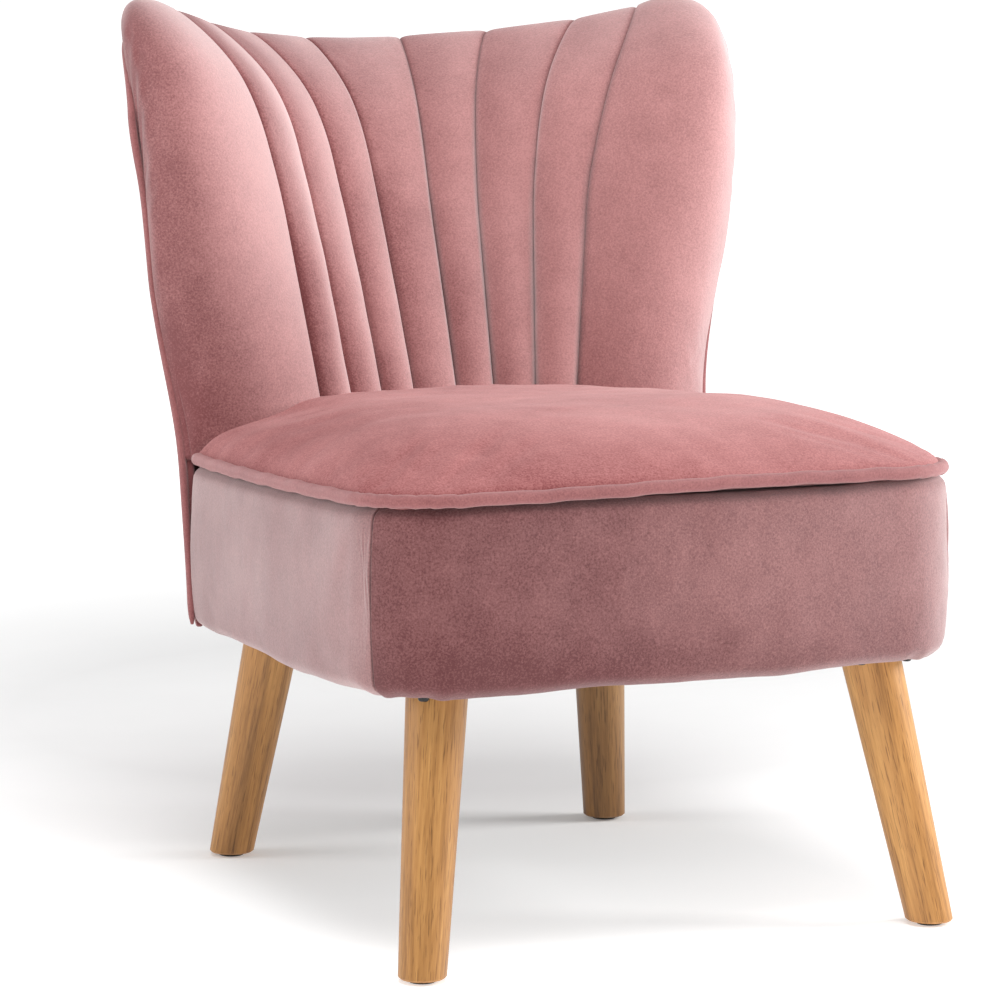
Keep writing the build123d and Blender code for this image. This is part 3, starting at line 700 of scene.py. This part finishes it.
def seat_cushion():
    """One closed cushion: a crowned top and a flat underside, sewn together along the piping."""
    inset = 4.5

    def top(u, v):
        x, behind = cushion_place(u, v, inset)
        z = line_level(behind) + front_rise(x, behind) + CROWN * crown_share(u, v)
        return np.column_stack([mm(x), front_y + mm(behind), mm(z)])

    def underside(u, v):
        x, behind = cushion_place(u, v, inset)
        z = line_level(behind) + front_rise(x, behind)
        lift = np.minimum.reduce([u, 1 - u, v, 1 - v])
        return np.column_stack([mm(x), front_y + mm(behind), mm(z - 7 * np.clip(lift / 0.02, 0, 1))])

    bm = shaped_grid(110, 92, top)
    join_into(bm, shaped_grid(110, 92, underside))
    bmesh.ops.remove_doubles(bm, verts=bm.verts, dist=mm(0.2))
    bmesh.ops.recalc_face_normals(bm, faces=bm.faces)
    piece = piece_from(bm, "seat_cushion_cover", seat_velvet)
    points = coordinates(piece.data)
    behind = (points[:, 1] - front_y) * 1000
    above = points[:, 2] * 1000 - line_level(behind)
    soft = np.clip(above / 14, 0, 1)
    mark_held(piece, 1 - np.clip((above - 1) / 10, 0, 1))
    wave = smooth_noise(points, 0.21, 5) * 1.3 + smooth_noise(points, 0.07, 6) * 0.45
    points[:, 2] += mm(wave * soft)
    set_coordinates(piece.data, points)
    # Painted light and shade: lighter towards the right, painted shade along the front edge, with
    # random patches of tone.
    aside = points[:, 0] * 1000 / HALF_WIDTH
    painted_shading = 0.55 * aside + 0.1 - 0.30 * np.clip(1 - behind / 90, 0, 1)
    paint_shading(piece, painted_shading + 0.12 * smooth_noise(points, 0.19, 7))
    return piece


def border(name, start, end, bottom_wave, seed):
    """A padded band of the seat's side, closed all round, from one place on the outline to another."""
    face_bulge = 4.5
    depth = 30

    def place(u, v):
        s = start + (end - start) * u
        x0, behind0 = outline(s, 0.0)
        gape = 4.5 * np.exp(-((x0 - 70) / 120) ** 4) * np.exp(-(behind0 / 30) ** 2)
        top = line_level(behind0) + front_rise(x0, behind0) - PIPING_RADIUS + 0.6 - gape
        ring = v * 4
        # the ring runs along the underside, up the face, back along the top and down the inner side
        t_under, t_face, t_top, t_inner = (np.clip(ring - k, 0, 1) for k in range(4))
        low = SEAT_BOTTOM + bottom_wave * np.sin(s * 9 + seed) + 0.5 * np.sin(s * 23 + 2 * seed)
        inset = depth * (1 - t_under) + depth * t_top
        height = low + (top - low) * t_face - (top - low) * t_inner
        # round the outer edges
        radius_low, radius_top = 11, 8
        from_low, from_top = height - low, top - height
        on_face = (ring >= 1) & (ring <= 2)
        for away, radius in ((from_low, radius_low), (from_top, radius_top)):
            curved = radius - np.sqrt(np.clip(radius ** 2 - (radius - away) ** 2, 0, None))
            inset = np.where(on_face & (away < radius), curved, inset)
        inset = np.where(ring < 1, radius_low + (depth - radius_low) * (1 - t_under), inset)
        inset = np.where((ring > 2) & (ring <= 3), radius_top + (depth - radius_top) * t_top, inset)
        inset = np.where(ring > 3, depth, inset)
        span = np.clip(t_face, 0, 1)
        bulge = face_bulge * np.sin(pi * span) ** 0.7 * on_face
        inset = inset - bulge + 2.2
        # the open rear ends are rounded
        arc = (np.where(s > 2.5, 5 - s, s) + BORDER_SPARE) * (BORDER_END - CORNER_RADIUS)
        end_radius = 5
        short = np.clip(end_radius - arc, 0, end_radius)
        inset = inset + (end_radius - np.sqrt(end_radius ** 2 - short ** 2)) * (ring < 3)
        x, behind = outline(s, np.clip(inset, -8, 58))
        return np.column_stack([mm(x), front_y + mm(behind), mm(height)])

    length = 130 if end - start < 1.8 else 190
    bm = shaped_grid(length, 96, place)
    bmesh.ops.remove_doubles(bm, verts=bm.verts, dist=mm(0.05))
    bmesh.ops.holes_fill(bm, edges=[e for e in bm.edges if e.is_boundary])
    bmesh.ops.recalc_face_normals(bm, faces=bm.faces)
    piece = piece_from(bm, name, front_velvet if name.startswith("front") else side_velvet)
    points = coordinates(piece.data)
    direction = normals(piece.data)
    wave = smooth_noise(points, 0.16, seed) * 0.9 + smooth_noise(points, 0.05, seed + 1) * 0.3
    set_coordinates(piece.data, points + direction * mm(wave)[:, None] * 0.8)
    points = coordinates(piece.data)
    facing = np.hypot(direction[:, 0], direction[:, 1])
    height = points[:, 2] * 1000
    behind = (points[:, 1] - front_y) * 1000
    inside = (np.abs(points[:, 0]) * 1000 < 245) & (behind > 16)
    above_foot = np.clip((height - SEAT_BOTTOM - 8) / 25, 0, 1)
    below_line = np.clip((line_level(behind) - 12 - height) / 20, 0, 1)
    free = np.minimum(above_foot, below_line)
    free = np.where((facing < 0.7) | inside, 0, free)
    mark_held(piece, 1 - free)
    # Painted shade: darker towards the bottom, and on the front border darker towards the left, with
    # random patches of tone.
    shade_near_bottom = np.clip(1 - (height - SEAT_BOTTOM) / 60, 0, 1)
    if name.startswith("front"):
        painted_shading = 0.65 * points[:, 0] * 1000 / HALF_WIDTH - 0.35 - 0.6 * shade_near_bottom
    else:
        painted_shading = -0.25 - 0.15 * shade_near_bottom
    paint_shading(piece, painted_shading + 0.12 * smooth_noise(points, 0.11, seed + 2))
    return piece


cushion = seat_cushion()
piping = seat_piping()
left_border = border("left_border_cover", -BORDER_SPARE, BORDER_SEAMS[0], 1.0, 11)
front_border = border("front_border_cover", *BORDER_SEAMS, 1.0, 12)
right_border = border("right_border_cover", BORDER_SEAMS[1], 5 + BORDER_SPARE, 1.0, 13)

# ---------------------------------------------------------------- back

COVER_FOOT = 350            # where the inside cover disappears below the cushion
WELT_GIRTH = 0.994
WELT_SHARE = 0.90
WELT_CORNER = 26
CORNER_SQUASH = 0.6         # the welt's corners are lower than they are wide
CORNER_PROUD = 3.5          # how much further the welt stands out at its corners
CORNER_LEVEL, CORNER_SPAN = 618, 24
ROLL = [                    # over the crest: thickness share, drop before the top, drop share behind
    (0.000, 118, 0), (0.012, 88, 0), (0.09, 56, 0), (0.29, 28, 0), (0.55, 8, 0),
    (0.77, 0, 0), (0.93, 0, 0.14), (1.00, 0, 0.46), (1.00, 0, 1),
]
ROLL_KNOTS = [0, 0.17, 0.33, 0.50, 0.65, 0.76, 0.84, 0.91, 1]
LAP = 0.0014                # neighbouring strips lap by this share below their seam
ROLL_START = 0.66           # share of the strip's length below the roll


def welt_top(girth):
    """Height of the welt under the crest; it turns a round corner down each side."""
    past = (np.abs(girth) - WELT_GIRTH) * HALF_SPREAD + WELT_CORNER
    past = np.clip(past, 0, WELT_CORNER * 0.999)
    round_off = (WELT_CORNER - np.sqrt(WELT_CORNER ** 2 - past ** 2)) * CORNER_SQUASH
    return crest_level(np.abs(girth)) - WELT_DROP - round_off


def roll_over(path, girth):
    """Thickness share and height in mm along a strip: foot 0, over the crest, welt 1."""
    crest = crest_level(girth)
    weights = spline_shares((path - ROLL_START) / (1 - ROLL_START), ROLL_KNOTS)
    share, ahead, behind = (weights @ np.array(ROLL, float)).T
    below = path < ROLL_START
    straight = COVER_FOOT + (crest - ROLL[0][1] - COVER_FOOT) * path / ROLL_START
    level = crest - ahead - behind * (crest - welt_top(girth))
    return np.where(below, 0, share), np.where(below, straight, level)


def seam_girth(number, path):
    """How far round a seam lies, counted from the left, 0 to 7; seams spread towards the crest."""
    base = ([-s for s in SEAMS[::-1]] + SEAMS)[number]
    return base * (1 + 0.15 * np.clip((path - 0.52) / 0.36, 0, 1.2) ** 2)


def outward(points, across, up):
    """The surface's own outward directions at the points of a grid."""
    grid = points.reshape(up + 1, across + 1, 3)
    direction = np.cross(np.gradient(grid, axis=1), np.gradient(grid, axis=0))
    direction[:, 0], direction[:, -1] = direction[:, 1], direction[:, -2]
    direction[0], direction[-1] = direction[1], direction[-2]
    direction /= np.maximum(np.linalg.norm(direction, axis=2, keepdims=True), 1e-12)
    return direction.reshape(-1, 3)


def walled(share, count, low=True, high=True):
    """Runs 0 to 1 over a grid's lines, with a line doubled at an end that gets a wall."""
    step = np.round(share * count)
    wall = (low & (step == 0)) | (high & (step == count))
    return np.clip((step - low) / (count - low - high), 0, 1), wall


def strip_piece(name, across, up, place, walls, material=back_velvet):
    """A sewn strip of the back: a puffed face, walls down into its seams, and a plain inner side.

    place(u, v) gives the surface, the puff above it, the thickness below it and the painted light and
    shade.
    """
    bm = bmesh.new()
    inner = bmesh.new()
    for grid, inside in ((bm, False), (inner, True)):
        bmesh.ops.create_grid(grid, x_segments=across, y_segments=up, size=0.5)
        held = grid.verts.layers.float.new("held")
        painted_shading_layer = grid.verts.layers.float.new("painted_shading")
        flat = np.array([v.co[:] for v in grid.verts]) + (0.5, 0.5, 0)
        order = np.lexsort((np.round(flat[:, 0] * across), np.round(flat[:, 1] * up)))
        u, wall_u = walled(flat[order, 0], across, walls[0], walls[1])
        v, wall_v = walled(flat[order, 1], up, walls[2], walls[3])
        base, puff, depth, painted_shading = place(u, v)
        rim = np.isclose(flat[order, 0], 0) | np.isclose(flat[order, 0], 1)
        rim |= np.isclose(flat[order, 1], 0) | np.isclose(flat[order, 1], 1)
        if inside:
            puff = -depth
        puff = np.where(rim, -depth * 0.6, puff)
        # Painted shade: the rims in the seams and the inner side take the deepest tone.
        painted_shading = np.clip(np.where(rim | inside, -2, painted_shading), -2, 1)
        points = base + outward(base, across, up) * puff[:, None]
        grid.verts.ensure_lookup_table()
        near = np.minimum(np.minimum(u, 1 - u) * across / 4, np.minimum(v, 1 - v) * up / 5)
        sewn = np.where(rim | inside, 1, 1 - np.clip(near, 0, 1))
        # pile carries each vertex's painted light and shade.
        for index, point, weight, pile in zip(order, points, sewn, painted_shading):
            grid.verts[index].co = point
            grid.verts[index][held] = weight
            grid.verts[index][painted_shading_layer] = pile
    bmesh.ops.reverse_faces(inner, faces=inner.faces)
    join_into(bm, inner)
    bmesh.ops.remove_doubles(bm, verts=bm.verts, dist=mm(0.02))
    return piece_from(bm, name, material)


def eased(value, start, end):
    """0 before start, 1 after end, smooth between."""
    t = np.clip((value - start) / (end - start), 0, 1)
    return t * t * (3 - 2 * t)


def painted_shading_across(u, v, edge, number):
    """Painted light and shade across a back piece: deep on its left, painted shade in its seams and
    under the crest, pale on its right as if lit from the right.

    The pieces are counted from the left wing, 0, to the right wing, 8.
    """
    strength = 1 - 0.10 * number
    # Painted light and shade: darker on the left, lighter on the right and on the right-hand pieces,
    # painted shade under the crest and in the seams.
    across = strength * (1.7 * eased(u, 0, 0.85) - 0.85) + 0.55 * eased(number, 3.5, 6)
    crest = 0.45 * eased(v, 0.68, 0.86)
    seam = 1.1 * (1 - eased(edge, 0, 0.05))
    return across - crest - seam


def channel(number):
    """One stuffed channel between two seams, counted from the left, 1 to 7."""
    def place(u, v):
        left, right = seam_girth(number - 1, v) - LAP, seam_girth(number, v) + LAP
        girth = left + (right - left) * u
        share, level = roll_over(v, girth)
        base = back_point(girth, level, share)
        edge = 1 - np.abs(2 * u - 1)
        tube_like = np.clip(1 - (1 - edge) ** 2.3, 0, 1) ** 0.6
        flatter = 1 - 0.40 * eased(v, 0.35, 0.70) - 0.42 * eased(v, 0.70, 0.88)
        ends = np.clip((1 - v) / 0.06, 0, 1) ** 0.5
        ripple = 0.35 * np.sin(v * 41 + number * 2.1) + 0.3 * np.sin(v * 17 + number)
        puff = (CHANNEL_PUFF + ripple) * tube_like * flatter * ends
        crease = 2.6 * (1 - eased(edge, 0, 0.14)) * (1 - 0.5 * eased(v, 0.6, 0.9)) * ends
        # Painted light and shade across the channel, with a gentle ripple of tone along it.
        painted_shading = painted_shading_across(u, v, edge / 2, number) + 0.2 * np.sin(v * 9 + number * 1.7)
        return base, mm(puff - crease), np.full_like(u, mm(14)), painted_shading
    return strip_piece(f"channel_{number}_cover", 26, 112, place, (True, True, False, True))


def wing(side, name):
    """A wing: the wide smooth panel outside the last seam, rolled over the crest and round its edge."""
    number = 0 if side < 0 else 7

    def place(u, v):
        out = 1 - u if side < 0 else u
        seam = np.abs(seam_girth(number, v)) - LAP
        face = np.clip(out / 0.90, 0, 1)
        turn = np.clip((out - 0.90) / 0.10, 0, 1)
        girth = seam + (1 - seam) * face - (1 - WELT_GIRTH) * turn ** 2
        along_welt = seam + (WELT_GIRTH - seam) * out
        girth = girth + (along_welt - girth) * eased(v, 0.62, 1)
        top_share, level = roll_over(v, girth)
        edge_level = COVER_FOOT + (welt_top(WELT_GIRTH) - COVER_FOOT) * v ** 0.92
        level = level + (edge_level - level) * eased(turn, 0, 1) * eased(v, 0.1, 0.9)
        side_share = WELT_SHARE * np.sin(turn * pi / 2) ** 1.5
        share = 1 - (1 - top_share) * (1 - side_share)
        base = back_point(side * girth, level, share)
        near_seam = np.sqrt(np.clip(1 - (1 - np.clip(out / 0.22, 0, 1)) ** 2.2, 0, 1))
        near_edge = np.clip((1 - out) / 0.10, 0, 1) ** 0.5
        ends = np.clip((1 - v) / 0.06, 0, 1) ** 0.5
        crease = 2.6 * (1 - eased(out, 0, 0.035)) * (1 - 0.5 * eased(v, 0.6, 0.9))
        puff = (WING_PUFF * near_seam * near_edge * (1 - 0.5 * eased(v, 0.5, 0.9)) - crease) * ends
        pucker = 0.55 * np.sin(v * 118) * eased(out, 0.80, 0.90) * (1 - eased(out, 0.95, 1))
        pucker = pucker * eased(v, 0.55, 0.8)
        corner = eased(out, 0.85, 1) * eased(v, 0.7, 0.95)
        # Painted light and shade: lighter towards the crest, painted shade low down by the seat.
        painted_shading = painted_shading_across(u, v, out, 0 if side < 0 else 8) + 0.25 * eased(v, 0.6, 0.9)
        painted_shading -= 0.35 * (1 - eased(v, 0.1, 0.45))
        return base, mm(puff + pucker), mm(9 - 8 * corner), painted_shading
    return strip_piece(name, 72, 112, place, (side > 0, side < 0, False, True))


def welt_path():
    """The welt's line: up one side, round the corner, under the crest and down the other side."""
    half = []
    for level in np.linspace(SEAT_BOTTOM + 3, float(welt_top(WELT_GIRTH)) - 2, 70):
        half.append((WELT_GIRTH, level))
    for angle in np.linspace(0, pi / 2, 14)[1:]:
        g = WELT_GIRTH - (WELT_CORNER / HALF_SPREAD) * (1 - cos(angle))
        half.append((g, float(welt_top(g))))
    last = half[-1][0]
    for g in np.linspace(last, 0, 70)[1:]:
        half.append((g, float(welt_top(g))))
    right = np.array(half)
    girth = np.concatenate([right[:, 0], -right[-2::-1, 0]])
    level = np.concatenate([right[:, 1], right[-2::-1, 1]])
    share = np.where(np.abs(girth) > 0.93, WELT_SHARE + 0.04, 1.0)
    share = np.convolve(np.pad(share, 4, mode="edge"), np.ones(9) / 9, mode="valid")
    points = back_point(girth, level, share)
    away = points - np.array([0, at(430), 0])
    away[:, 2] = 0
    away /= np.linalg.norm(away, axis=1, keepdims=True)
    at_corner = np.exp(-((level - CORNER_LEVEL) / CORNER_SPAN) ** 2) * (np.abs(girth) > 0.93)
    proud = 1.8 + CORNER_PROUD * at_corner
    proud = np.convolve(np.pad(proud, 3, mode="edge"), np.ones(7) / 7, mode="valid")
    return points + away * mm(proud)[:, None]


def outside_back():
    """The outside panel, round the back from welt to welt and down to the seat's underside."""
    def place(u, v):
        girth = (1 - u * 2) * WELT_GIRTH
        top = welt_top(girth)
        level = SEAT_BOTTOM + (top - SEAT_BOTTOM) * v
        base = back_point(girth, level, 0.99)
        edge = np.minimum(np.clip((1 - np.abs(u * 2 - 1)) / 0.05, 0, 1), np.clip((1 - v) / 0.05, 0, 1))
        low = np.clip(v / 0.03, 0, 1)
        broad = np.clip((1 - np.abs(u * 2 - 1)) / 0.22, 0, 1)
        round_edge = np.sqrt(np.clip(1 - (1 - edge) ** 2, 0, 1)) * (1 - (1 - low) ** 2) ** 0.5
        puff = (1.0 + 3.5 * broad) * round_edge - 1.5
        wave = 0.8 * np.sin(u * 13 + 1) * np.sin(v * 7) + 0.4 * np.sin(u * 31) * np.sin(v * 17 + 1)
        # Painted light and shade: a broad wave of tone, and painted shade near its sides and top.
        painted_shading = 0.3 * np.sin(u * 8 + v * 3) - 0.5 * (1 - edge)
        return base, mm(puff + wave * edge), np.full_like(u, mm(8)), painted_shading
    return strip_piece("outside_back_cover", 120, 76, place, (True, True, True, True))


def back_foam():
    """The foam core under the inside cover."""
    def place(u, v):
        girth = (u * 2 - 1) * 0.95
        level = 368 + (crest_level(girth) - 34 - 368) * v
        flat = np.zeros_like(u)
        return back_point(girth, level, 0.38), flat, flat + mm(7), flat
    return strip_piece("back_foam_core", 60, 40, place, (True, True, True, True), seat_foam_finish)


def wing_board(side):
    """The board that stiffens a wing, behind its foam."""
    def place(u, v):
        inner, outer = 0.60, 0.925
        out = 1 - u if side < 0 else u
        girth = side * (inner + (outer - inner) * out)
        foot = 432 + 40 * out
        level = foot + (crest_level(girth) - 36 - foot) * v
        flat = np.zeros_like(u)
        return back_point(girth, level, 0.58), flat, flat + mm(9), flat
    name = ("left" if side < 0 else "right") + "_wing_board_ply"
    return strip_piece(name, 24, 40, place, (True, True, True, True), raw_timber)


channels = [channel(n) for n in range(1, 8)]
left_wing = wing(-1, "left_wing_cover")
right_wing = wing(1, "right_wing_cover")
welt = tube("back_welt_cord", [Vector(p) for p in welt_path()], mm(WELT_RADIUS), piping_velvet)
outside = outside_back()
foam_core = back_foam()
boards = [wing_board(-1), wing_board(1)]

padded_pieces = [(cushion, 3.5, mm(5)), (outside, 2.5, mm(2.5))]
padded_pieces += [(piece, 3.0, mm(4)) for piece in (left_wing, right_wing)]
padded_pieces += [(piece, 3.0, mm(3)) for piece in (left_border, front_border, right_border)]
padded_pieces += [(piece, 4.0, mm(3)) for piece in channels]
inflate(padded_pieces)
for piece, _, _ in padded_pieces:
    refine(piece)

# ---------------------------------------------------------------- what stands for what

SOFT = [
    (foam_core, "back_foam", "foam", 0.95),
    (cushion, "seat_cushion", "velvet", 0.85),
    (left_border, "left_border", "velvet", 0.9),
    (front_border, "front_border", "velvet", 0.9),
    (right_border, "right_border", "velvet", 0.9),
    (left_wing, "left_wing", "velvet", 0.85),
    (right_wing, "right_wing", "velvet", 0.85),
    (outside, "outside_back", "velvet", 0.9),
]
SOFT += [(piece, f"channel_{n}", "velvet", 0.85) for n, piece in enumerate(channels, 1)]
for piece, cad_node, finish_slot, fill in SOFT:
    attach(piece, "chair")
    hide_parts(cad_node)
for piece, cad_node in zip(boards, ("left_wing_board", "right_wing_board")):
    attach(piece, "chair")
    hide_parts(cad_node)
for piece, cad_node in ((piping, "seat_piping"), (welt, "back_welt")):
    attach(piece, "chair")
    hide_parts(cad_node)

# ---------------------------------------------------------------- finishes of the CAD nodes

FINISHES = {
    "glide_insert": zinc_steel,
    "glide": black_plastic,
    "leg_bolt": zinc_steel,
    "leg_plate": black_steel,
    "plate_screws": black_steel,
    "dust_cover": dust_cloth,
    "seat_foam": seat_foam_finish,
    "back_foam": seat_foam_finish,
    "seat_webbing": strap_finish,
    "back_webbing": strap_finish,
}
# Painted light and shade on the legs: the front right and rear left legs are lighter, the rear right
# leg darker.
LEG_PAINTED_SHADING = {"leg_front_right": 1.22, "leg_rear_right": 0.62, "leg_rear_left": 1.1}
for node_name, cad_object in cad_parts.items():
    found = [f for start, f in FINISHES.items() if node_name.startswith(start)]
    finish_here = found[0] if found else raw_timber
    if node_name.startswith("leg_") and not found:
        side = 1 if "right" in node_name else -1
        front = "front" in node_name
        top = Vector((side * mm(191 if front else 153), at(63 if front else 468), mm(213.5)))
        foot = Vector((side * mm(224 if front else 181), at(20 if front else 507), 0))
        lean = (top - foot).to_track_quat("Z", "Y").to_euler()
        finish_here = oak(f"oak_{node_name}", lean, foot, LEG_PAINTED_SHADING.get(node_name, 1.0))
    cad_object.data.materials.clear()
    cad_object.data.materials.append(finish_here)
